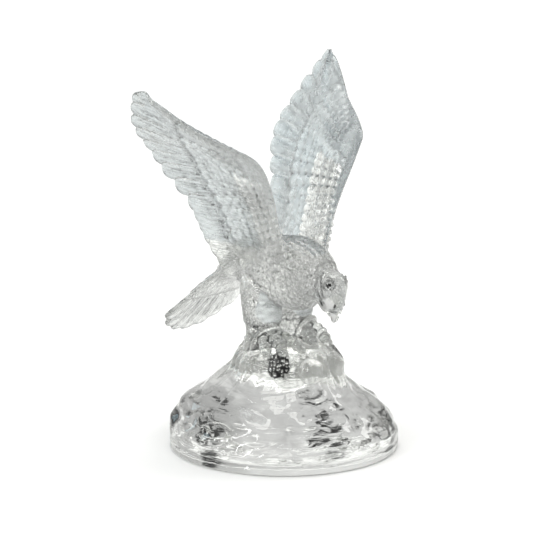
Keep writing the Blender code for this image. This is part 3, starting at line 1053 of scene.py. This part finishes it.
def bird_shells():
    """Every shell of the bird, and the rocks under its toes."""
    made = [limb(in_middle(BODY), 64, 64, DOWN)]
    made += head()
    made += coat(in_middle(BODY), BODY_COAT)
    for side in (1.0, -1.0):
        made.append(limb(LEG, 40, 32, DOWN, side))
        made.append(limb(as_round(HEM), 16, 40, DOWN, side, end=0.1))
        made.append(thigh_patch(side))
        made += crossed_black_lines(side)
        made.append(limb(SHOULDER, 36, 28, DOWN, side, end=0.2))
        made += coat(LEG, LEG_COAT, side, smooth_thigh)
        made += coat(SHOULDER, SHOULDER_COAT, side)
        made += foot(side)
        made.append(wing_web(side))
        made += wing_feathers(side)
        made += wing_coverts(side)
        made += wrist_feathers(side)
    made += tail_feathers()
    made.append(limb(LEDGE, 20, 40, ROCKY, end=0.12))
    made += [rock(*place) for place in ROCKS]
    return made


def ripple(place):
    """How far the mound stands out at a place: the solid's own ripple, then dimples, flutes and seams."""
    flow = Vector((place[0], place[1], place[2] * RIPPLE_FLATTENING)) / RIPPLE_LENGTH
    out = RIPPLE_DEPTH * noise.noise(flow)
    height = place[2] / MOUND_HEIGHT
    low = ramp(height, DIMPLES_BELOW, -DIMPLES_FADE_OUT)
    risen = ramp(height, DIMPLES_ABOVE, DIMPLES_FADE_IN)
    cell = Vector((place[0] / DIMPLE_WIDE, place[1] / DIMPLE_WIDE, place[2] / DIMPLE_TALL))
    out += DIMPLE_DEPTH * low * risen * (noise.noise(cell) - DIMPLE_LEVEL)
    heading = math.atan2(place[1], place[0])
    flutes = Vector((math.cos(heading), math.sin(heading), 0.0)) * MOUND_RADIUS / FLUTE_WIDE * FLUTE_CROWD
    flutes.z = height * FLUTE_CHANGE
    lean = Vector((0.0, 0.0, FLUTE_LEAN * (heading * MOUND_RADIUS / FLUTE_WIDE)))
    out += FLUTE_DEPTH * (1 - low) * 2 * noise.noise(flutes + lean)
    for seam in SEAM_HEADINGS:
        apart = (heading - math.radians(seam) + math.pi) % (2 * math.pi) - math.pi
        reach = apart * math.hypot(place[0], place[1])
        out += SEAM_HEIGHT * math.exp(-((reach / SEAM_HALF_WIDTH) ** 2))
    return out


def mound():
    """The domed base with its flat underside and plain rim."""
    eased_radius = MOUND_RADIUS - RIM_STEP
    rim_top = RIM_HEIGHT + RIM_STEP
    rise = MOUND_HEIGHT - rim_top
    corner = RIM_STEP * RIM_CORNER
    rings = [(0.0, 0.0), (0.0, MOUND_RADIUS / 2), (0.0, eased_radius), (corner, MOUND_RADIUS - corner)]
    rings += [(RIM_STEP, MOUND_RADIUS), (RIM_HEIGHT, MOUND_RADIUS), (rim_top, eased_radius)]
    plain = len(rings)
    rings = [(height, reach, 0.0, 0.0) for height, reach in rings]
    for height, *across in smooth_rows(MOUND_PROFILE, np.linspace(0.0, 1.0, MOUND_RINGS)):
        rings.append((rim_top + height * rise, *(MOUND_RADIUS * share for share in across)))
    top, _, top_x, top_y = rings[-1]
    rings.append((top, 0.0, top_x, top_y))
    rings = np.array(rings)

    def shape(share, angle):
        row = np.rint((1 - share) * (len(rings) - 1)).astype(int)
        height, reach, shift_x, shift_y = rings[row].T
        out = np.stack([np.cos(angle), np.sin(angle), 0.0 * angle], axis=1)
        places = np.stack([shift_x, shift_y, height], axis=1) + out * reach[:, None]
        wavy = (row >= plain) & (row < len(rings) - 1)
        grown = np.array([ripple(place) if there else 0.0 for place, there in zip(places, wavy)])
        return places + out * (grown * ramp(height, rim_top, RIPPLE_FADE))[:, None], 0.0, 0.0

    return shell(MOUND_SIDES, len(rings) - 1, shape, POLISHED)


def joined(name, shells):
    """One object of all the shells, with the ways along and across them as a UV map, and their satin, barbs,
    stipple and painted shade.
    """
    places, lines, sizes = (np.concatenate([made[part] for made in shells]) for part in (0, 1, 3))
    starts = np.cumsum([0] + [len(made[0]) for made in shells])
    corners = np.concatenate([made[2] + start for made, start in zip(shells, starts)])
    finishes_and_painted_shade = np.concatenate([np.tile(made[4], (len(made[0]), 1)) for made in shells])
    mesh = bpy.data.meshes.new(name)
    mesh.vertices.add(len(places))
    mesh.vertices.foreach_set("co", places.ravel())
    mesh.loops.add(len(corners))
    mesh.loops.foreach_set("vertex_index", corners)
    mesh.polygons.add(len(sizes))
    mesh.polygons.foreach_set("loop_start", np.cumsum(sizes) - sizes)
    mesh.update(calc_edges=True)
    lay_values(mesh, lines[corners], finishes_and_painted_shade)
    piece = bpy.data.objects.new(name, mesh)
    add_to_scene(piece)
    face_outwards(piece)
    return piece


def lay_values(mesh, lines, finishes_and_painted_shade):
    """Keeps the feather lines of each face's corners, and the satin, barbs, stipple and painted shade of each
    point.
    """
    mesh.uv_layers.new(name="feather lines").uv.foreach_set("vector", lines.ravel())
    finish_and_painted_shade = mesh.color_attributes.new("finish_and_painted_shade", "FLOAT_COLOR", "POINT")
    finish_and_painted_shade.data.foreach_set("color", finishes_and_painted_shade.ravel())


def triangle_count(mesh):
    return sum(len(face.vertices) - 2 for face in mesh.polygons)


def search_tree(mesh):
    """A quick way to the nearest place on a mesh, and each face's corners."""
    corners = [tuple(face.vertices) for face in mesh.polygons]
    return BVHTree.FromPolygons([tuple(place) for place in coordinates(mesh)], corners), corners


def nearest_values(here, pattern, base):
    """The feather lines, and the satin, barbs, stipple and painted shade, at each place here, from the shell
    that lies nearest to it.
    """
    places = coordinates(pattern)
    lines = np.zeros((len(places), 2))
    loop_lines = read(pattern.uv_layers["feather lines"].uv, "vector", 2)
    lines[read(pattern.loops, "vertex_index", kind=int)] = loop_lines
    finishes_and_painted_shade = read(pattern.color_attributes["finish_and_painted_shade"].data, "color", 4)
    shells, corners = search_tree(pattern)
    ground, _ = search_tree(base)
    laid_lines = np.zeros((len(here), 2))
    laid_finish_and_painted_shade = np.zeros((len(here), 4))
    for index, place in enumerate(here):
        point = Vector(place)
        spot, _, face, apart = shells.find_nearest(point)
        if ground.find_nearest(point)[3] < apart:
            stony = ramp(point.z / MOUND_HEIGHT, STONY_ABOVE, STONY_FADE)
            laid_lines[index] = (math.atan2(point.y, point.x) * STONY_RADIUS / UNIT, point.z / UNIT)
            laid_finish_and_painted_shade[index] = np.array(ROCKY) * stony + np.array(FLOWED) * (1 - stony)
            continue
        around = list(corners[face])
        shares = poly_3d_calc([Vector(places[corner]) for corner in around], spot)
        laid_lines[index] = np.dot(shares, lines[around])
        laid_finish_and_painted_shade[index] = np.dot(shares, finishes_and_painted_shade[around])
    return laid_lines, laid_finish_and_painted_shade


def lay_pattern(mesh, pattern, base):
    """Gives the fused skin the shells' feather lines, satin, barbs, stipple and painted shade, frosts the
    wings and paints shade into the creases.
    """
    here = coordinates(mesh)
    lines, finish_and_painted_shade = nearest_values(here, pattern, base)
    for layers in (mesh.uv_layers, mesh.color_attributes):
        for layer in list(layers):
            layers.remove(layer)
    sides = np.where(here[:, :1] > 0, 1.0, -1.0)
    wing_normals = WING_NORMAL * np.concatenate([sides, sides**2, sides**2], axis=1)
    upper = np.sum(read(mesh.vertex_normals, "vector", 3) * wing_normals, axis=1) > 0
    wings = upper & (here[:, 2] > WINGS_ABOVE) & (finish_and_painted_shade[:, 1] > WINGS_BARBED)
    feet = here[:, 2] < FEET_BELOW
    # The frosted upper faces of the wings get the frosted colour, painted shade with a bluish painted
    # reflection
    finish_and_painted_shade[wings] = FROSTED
    # Painted shade in the creases, stronger on the frosted faces and on the feet and rocks
    deep = creases(mesh)
    deep[wings] = np.minimum(1.0, deep[wings] * FROSTED_CREASES)
    deep[feet] = np.minimum(1.0, deep[feet] * FEET_CREASES)
    shown = np.minimum(1.0, SATIN_CREASES * finish_and_painted_shade[:, 0])
    finish_and_painted_shade[:, 3] = np.maximum(finish_and_painted_shade[:, 3], deep * (POLISHED_CREASES + (1 - POLISHED_CREASES) * shown))
    lay_values(mesh, lines[read(mesh.loops, "vertex_index", kind=int)], finish_and_painted_shade)


def creases(mesh):
    """How deep in a crease each point lies, from 0 to 1, by how far its neighbours stand above it. It sets
    the shade painted into the creases.
    """
    places = coordinates(mesh)
    normals = read(mesh.vertex_normals, "vector", 3)
    ends = read(mesh.edges, "vertices", 2, int)
    count = np.bincount(ends.ravel(), minlength=len(places))[:, None]

    def around(values):
        total = np.zeros_like(values)
        np.add.at(total, ends[:, 0], values[ends[:, 1]])
        np.add.at(total, ends[:, 1], values[ends[:, 0]])
        return total / np.maximum(count, 1)

    above = np.sum((around(places) - places) * normals, axis=1, keepdims=True)
    above = (above + around(above)) / 2
    return np.clip(above[:, 0] / CREASE_DEPTH, 0.0, 1.0)


def make_eagle():
    """Fuses the bird, joins it to the mound as one skin, and lays the feather lines, satin, barbs, stipple
    and painted shade back on it.
    """
    pattern = joined("pattern", bird_shells())
    bird = twin(pattern, "bird")
    apply_modifier(bird, "One skin", "REMESH", mode="VOXEL", voxel_size=SKIN_STEP)
    apply_modifier(bird, "Ease the steps", "SMOOTH", iterations=SKIN_EASING)
    share_kept = min(1.0, BIRD_TRIANGLES / triangle_count(bird.data))
    apply_modifier(bird, "Fewer faces", "DECIMATE", ratio=share_kept)

    base = joined("glass_base", [mound()])
    eagle = twin(base, "pressed_glass_eagle")
    apply_modifier(eagle, "Join the bird", "BOOLEAN", operation="UNION", object=bird, solver="EXACT")

    lay_pattern(eagle.data, pattern.data, base.data)
    for helper in (bird, pattern, base):
        remove(helper)
    only(eagle)
    bpy.ops.object.shade_smooth_by_angle(angle=math.radians(SMOOTH_BELOW))
    eagle.data.materials.clear()
    return eagle


def network(owner):
    """The nodes of a material or world, the way to link them, and a function that adds one."""
    owner.use_nodes = True
    tree = owner.node_tree

    def node(kind, **values):
        """A new node. Each value is a setting, or for an input a plain value or the output that feeds it."""
        made = tree.nodes.new(kind)
        for name, value in values.items():
            if hasattr(made, name):
                setattr(made, name, value)
            elif isinstance(value, bpy.types.NodeSocket):
                tree.links.new(value, made.inputs[name.replace("_", " ")])
            else:
                made.inputs[name.replace("_", " ")].default_value = value
        return made

    return tree.nodes, tree.links.new, node


def clear_glass():
    """Clear pressed glass: polished at the beak, satin on the feathers, frosted on the wings' upper faces.
    Shade is painted into its colour: greyer where satin, dark blue-grey with a bluish painted reflection
    where frosted, and dark in grooves, creases, lines and the eye.
    """
    material = bpy.data.materials.new("clear pressed glass")
    nodes, link, node = network(material)
    shader = nodes["Principled BSDF"]
    shader.inputs["Transmission Weight"].default_value = 1.0
    shader.inputs["IOR"].default_value = GLASS_INDEX

    def maths(operation, first, second=None):
        made = node("ShaderNodeMath", operation=operation)
        for socket, value in zip(made.inputs, (first, second)):
            if isinstance(value, bpy.types.NodeSocket):
                link(value, socket)
            elif value is not None:
                socket.default_value = value
        return made.outputs[0]

    def plus(first, second):
        return maths("ADD", first, second)

    def less(first, second):
        return maths("SUBTRACT", first, second)

    def times(first, second):
        return maths("MULTIPLY", first, second)

    def noise_at(where, **values):
        return node("ShaderNodeTexNoise", Vector=where, **values).outputs[0]

    def eased(value, edges, top=1.0):
        spread = node("ShaderNodeMapRange", interpolation_type="SMOOTHSTEP", Value=value, To_Max=top)
        spread.inputs["From Min"].default_value, spread.inputs["From Max"].default_value = edges
        return spread.outputs[0]

    def mixed(share, first, second):
        made = node("ShaderNodeMix", data_type="RGBA", clamp_factor=True)
        link(share, made.inputs[0])
        if isinstance(first, bpy.types.NodeSocket):
            link(first, made.inputs[6])
        else:
            made.inputs[6].default_value = first
        made.inputs[7].default_value = second
        return made.outputs[2]

    place = node("ShaderNodeTexCoord").outputs["Object"]
    finish_and_painted_shade = node("ShaderNodeVertexColor", layer_name="finish_and_painted_shade")
    satin, barbed, stippled = node("ShaderNodeSeparateColor", Color=finish_and_painted_shade.outputs["Color"]).outputs
    lines = node("ShaderNodeUVMap", uv_map="feather lines")
    along, across, _ = node("ShaderNodeSeparateXYZ", Vector=lines.outputs["UV"]).outputs
    x, y, z = node("ShaderNodeSeparateXYZ", Vector=place).outputs

    strand = node(
        "ShaderNodeCombineXYZ", X=times(along, BARB_RUN), Y=times(across, BARB_CROWD), Z=times(z, BARB_SHIFT)
    )
    hairs = noise_at(strand.outputs[0], Scale=1.0, Detail=1.0, Roughness=0.4)
    barb = times(eased(maths("ABSOLUTE", less(hairs, 0.5)), BARB_EDGES), barbed)

    worms = noise_at(place, Scale=STIPPLE_SCALE, Detail=1.0, Roughness=0.5, Distortion=1.4)
    stipple = times(eased(maths("ABSOLUTE", less(worms, 0.5)), STIPPLE_EDGES), stippled)

    # Painted shade as dark specks where the stipple is full
    dots = noise_at(place, Scale=SPECK_SCALE, Detail=0.0)
    speck = times(eased(dots, SPECK_EDGES, SPECK_DARK), maths("POWER", stippled, SPECK_SHARPNESS))

    drawn_down = node("ShaderNodeCombineXYZ", X=x, Y=y, Z=times(z, WAVE_DRAWN))
    waves = noise_at(drawn_down.outputs[0], Scale=WAVE_SCALE, Detail=1.0, Roughness=0.35, Distortion=0.4)
    wave = times(times(less(waves, 0.5), less(1.0, times(satin, WAVE_LOST))), WAVE_DEPTH)
    carved = plus(times(barb, -BARB_CUT), times(stipple, -STIPPLE_CUT))
    bump = node("ShaderNodeBump", Strength=1.0, Distance=1.0, Height=plus(carved, wave))
    link(bump.outputs["Normal"], shader.inputs["Normal"])

    haze = noise_at(place, Scale=HAZE_SCALE, Detail=3.0, Roughness=0.55)
    uneven = plus(HAZE_LEAST, times(haze, HAZE_SPREAD))
    # Where it is etched the glass is frosted, and takes the frosted colour's painted shade
    etched_and_painted_shade = times(times(less(1.0, barbed), less(1.0, stippled)), maths("POWER", satin, FROST_SHARPNESS))
    frost = plus(times(etched_and_painted_shade, FROSTED_ROUGH), times(satin, SATIN_ROUGH))
    link(plus(POLISHED_ROUGH, times(uneven, frost)), shader.inputs["Roughness"])

    # The satin and frosted colours are painted shade, the frosted one with a bluish painted reflection
    colour = mixed(times(satin, uneven), CLEAR_COLOUR, SATIN_COLOUR)
    colour = mixed(etched_and_painted_shade, colour, FROSTED_COLOUR)
    # Painted shade: the cut barbs and stipple, the specks and the fourth point value, which darkens creases,
    # lines, the eye and the nostril, and blackens the crossed lines
    drawn = plus(times(barb, BARB_DARK), times(stipple, STIPPLE_DARK))
    colour = mixed(plus(drawn, plus(finish_and_painted_shade.outputs["Alpha"], speck)), colour, BLACK)
    link(colour, shader.inputs["Base Color"])
    return material


def pale_card():
    """The matt white sheet that it stands on, with the faint grain of card."""
    material = bpy.data.materials.new("pale card")
    nodes, link, node = network(material)
    shader = nodes["Principled BSDF"]
    shader.inputs["Base Color"].default_value = CARD_COLOUR
    shader.inputs["Roughness"].default_value = 0.9
    shader.inputs["Specular IOR Level"].default_value = 0.1
    place = node("ShaderNodeTexCoord").outputs["Object"]
    grain = node("ShaderNodeTexNoise", Vector=place, Scale=900.0)
    bump = node("ShaderNodeBump", Strength=0.05, Distance=0.0001, Height=grain.outputs[0])
    link(bump.outputs["Normal"], shader.inputs["Normal"])
    return material


def make_floor():
    """A wide round table top, with its far edge out of sight."""
    deselect_all()
    bpy.ops.mesh.primitive_circle_add(
        vertices=96, radius=TABLE_RADIUS, fill_type="NGON", location=(0.0, 0.0, -TABLE_DROP)
    )
    floor = bpy.context.active_object
    floor.name = "table_top"
    bpy.ops.object.mode_set(mode="EDIT")
    bpy.ops.mesh.select_all(action="SELECT")
    bpy.ops.mesh.extrude_region_move(TRANSFORM_OT_translate={"value": (0.0, 0.0, -TABLE_THICKNESS)})
    bpy.ops.object.mode_set(mode="OBJECT")
    bpy.ops.object.transform_apply(location=True, rotation=True, scale=True)
    face_outwards(floor)
    floor.data.materials.append(pale_card())


def soft_box(name, place, wide, tall, watts, colour):
    """A rectangular studio light. Only the one above is seen through the glass."""
    light = bpy.data.lights.new(name, "AREA")
    light.shape = "RECTANGLE"
    light.size = wide
    light.size_y = tall
    light.energy = watts
    light.color = colour
    lamp = bpy.data.objects.new(name, light)
    lamp.location = place
    lamp.rotation_euler = (Vector(LIGHTS_AIM) - Vector(place)).to_track_quat("-Z", "Y").to_euler()
    lamp.visible_transmission = "above" in name
    add_to_scene(lamp)


def make_studio():
    """A pale backdrop and a dim room behind the camera, with dark screens, soft boxes and strip lights."""
    world = bpy.data.worlds.new("pale studio")
    bpy.context.scene.world = world
    nodes, link, node = network(world)
    way = node("ShaderNodeTexCoord").outputs["Generated"]

    def ramp_of(source, low, high, stops):
        """Colours that change with a value from low to high."""
        spread = node("ShaderNodeMapRange", Value=source, From_Min=low, From_Max=high)
        made = node("ShaderNodeValToRGB", Fac=spread.outputs[0])
        made.color_ramp.interpolation = "EASE"
        points = made.color_ramp.elements
        for point, (position, colour) in zip((points[0], points[1]), (stops[0], stops[-1])):
            point.position = position
            point.color = (*colour, 1.0)
        for position, colour in stops[1:-1]:
            points.new(position).color = (*colour, 1.0)
        return made.outputs["Color"]

    def multiplied(first, second):
        mix = node("ShaderNodeMix", data_type="RGBA", blend_type="MULTIPLY")
        mix.inputs[0].default_value = 1.0
        link(first, mix.inputs[6])
        link(second, mix.inputs[7])
        return mix.outputs[2]

    def towards(heading):
        """How nearly the view points along a heading, from -1 to 1."""
        ahead = node("ShaderNodeVectorMath", operation="DOT_PRODUCT")
        link(way, ahead.inputs[0])
        ahead.inputs[1].default_value = heading
        return ahead.outputs["Value"]

    rise = node("ShaderNodeSeparateXYZ", Vector=way).outputs["Z"]
    light = multiplied(
        ramp_of(rise, -1.0, 1.0, WORLD_RISE), ramp_of(towards(BACKDROP), -1.0, 1.0, WORLD_DEPTH)
    )
    for x, y, z, half_angle, lightness in DARK_SCREENS:
        edge = math.cos(math.radians(half_angle))
        soft = math.cos(math.radians(half_angle * SCREEN_CORE))
        stops = [(0.0, (1.0,) * 3), (1.0, (lightness,) * 3)]
        light = multiplied(light, ramp_of(towards(Vector((x, y, z)).normalized()), edge, soft, stops))
    link(light, nodes["Background"].inputs["Color"])
    for lamp in SOFT_BOXES:
        soft_box(*lamp)


def make_camera():
    heading = math.radians(CAMERA_HEADING)
    rise = math.radians(CAMERA_RISE)
    away = Vector((-math.sin(heading) * math.cos(rise), -math.cos(heading) * math.cos(rise), math.sin(rise)))
    data = bpy.data.cameras.new("camera")
    data.sensor_width = SENSOR_WIDTH
    data.lens = CAMERA_LENS
    data.clip_end = 100.0
    camera = bpy.data.objects.new("camera", data)
    camera.location = CAMERA_TARGET + away * CAMERA_DISTANCE
    camera.rotation_euler = (-away).to_track_quat("-Z", "Y").to_euler()
    add_to_scene(camera)
    bpy.context.scene.camera = camera


eagle = make_eagle()
eagle.data.materials.append(clear_glass())
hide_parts("glass_eagle")
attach(eagle, "root")
make_floor()
make_studio()
make_camera()

scene = bpy.context.scene
scene.view_settings.view_transform = "Standard"
scene.cycles.max_bounces = 24
scene.cycles.transmission_bounces = 20
scene.cycles.glossy_bounces = 8
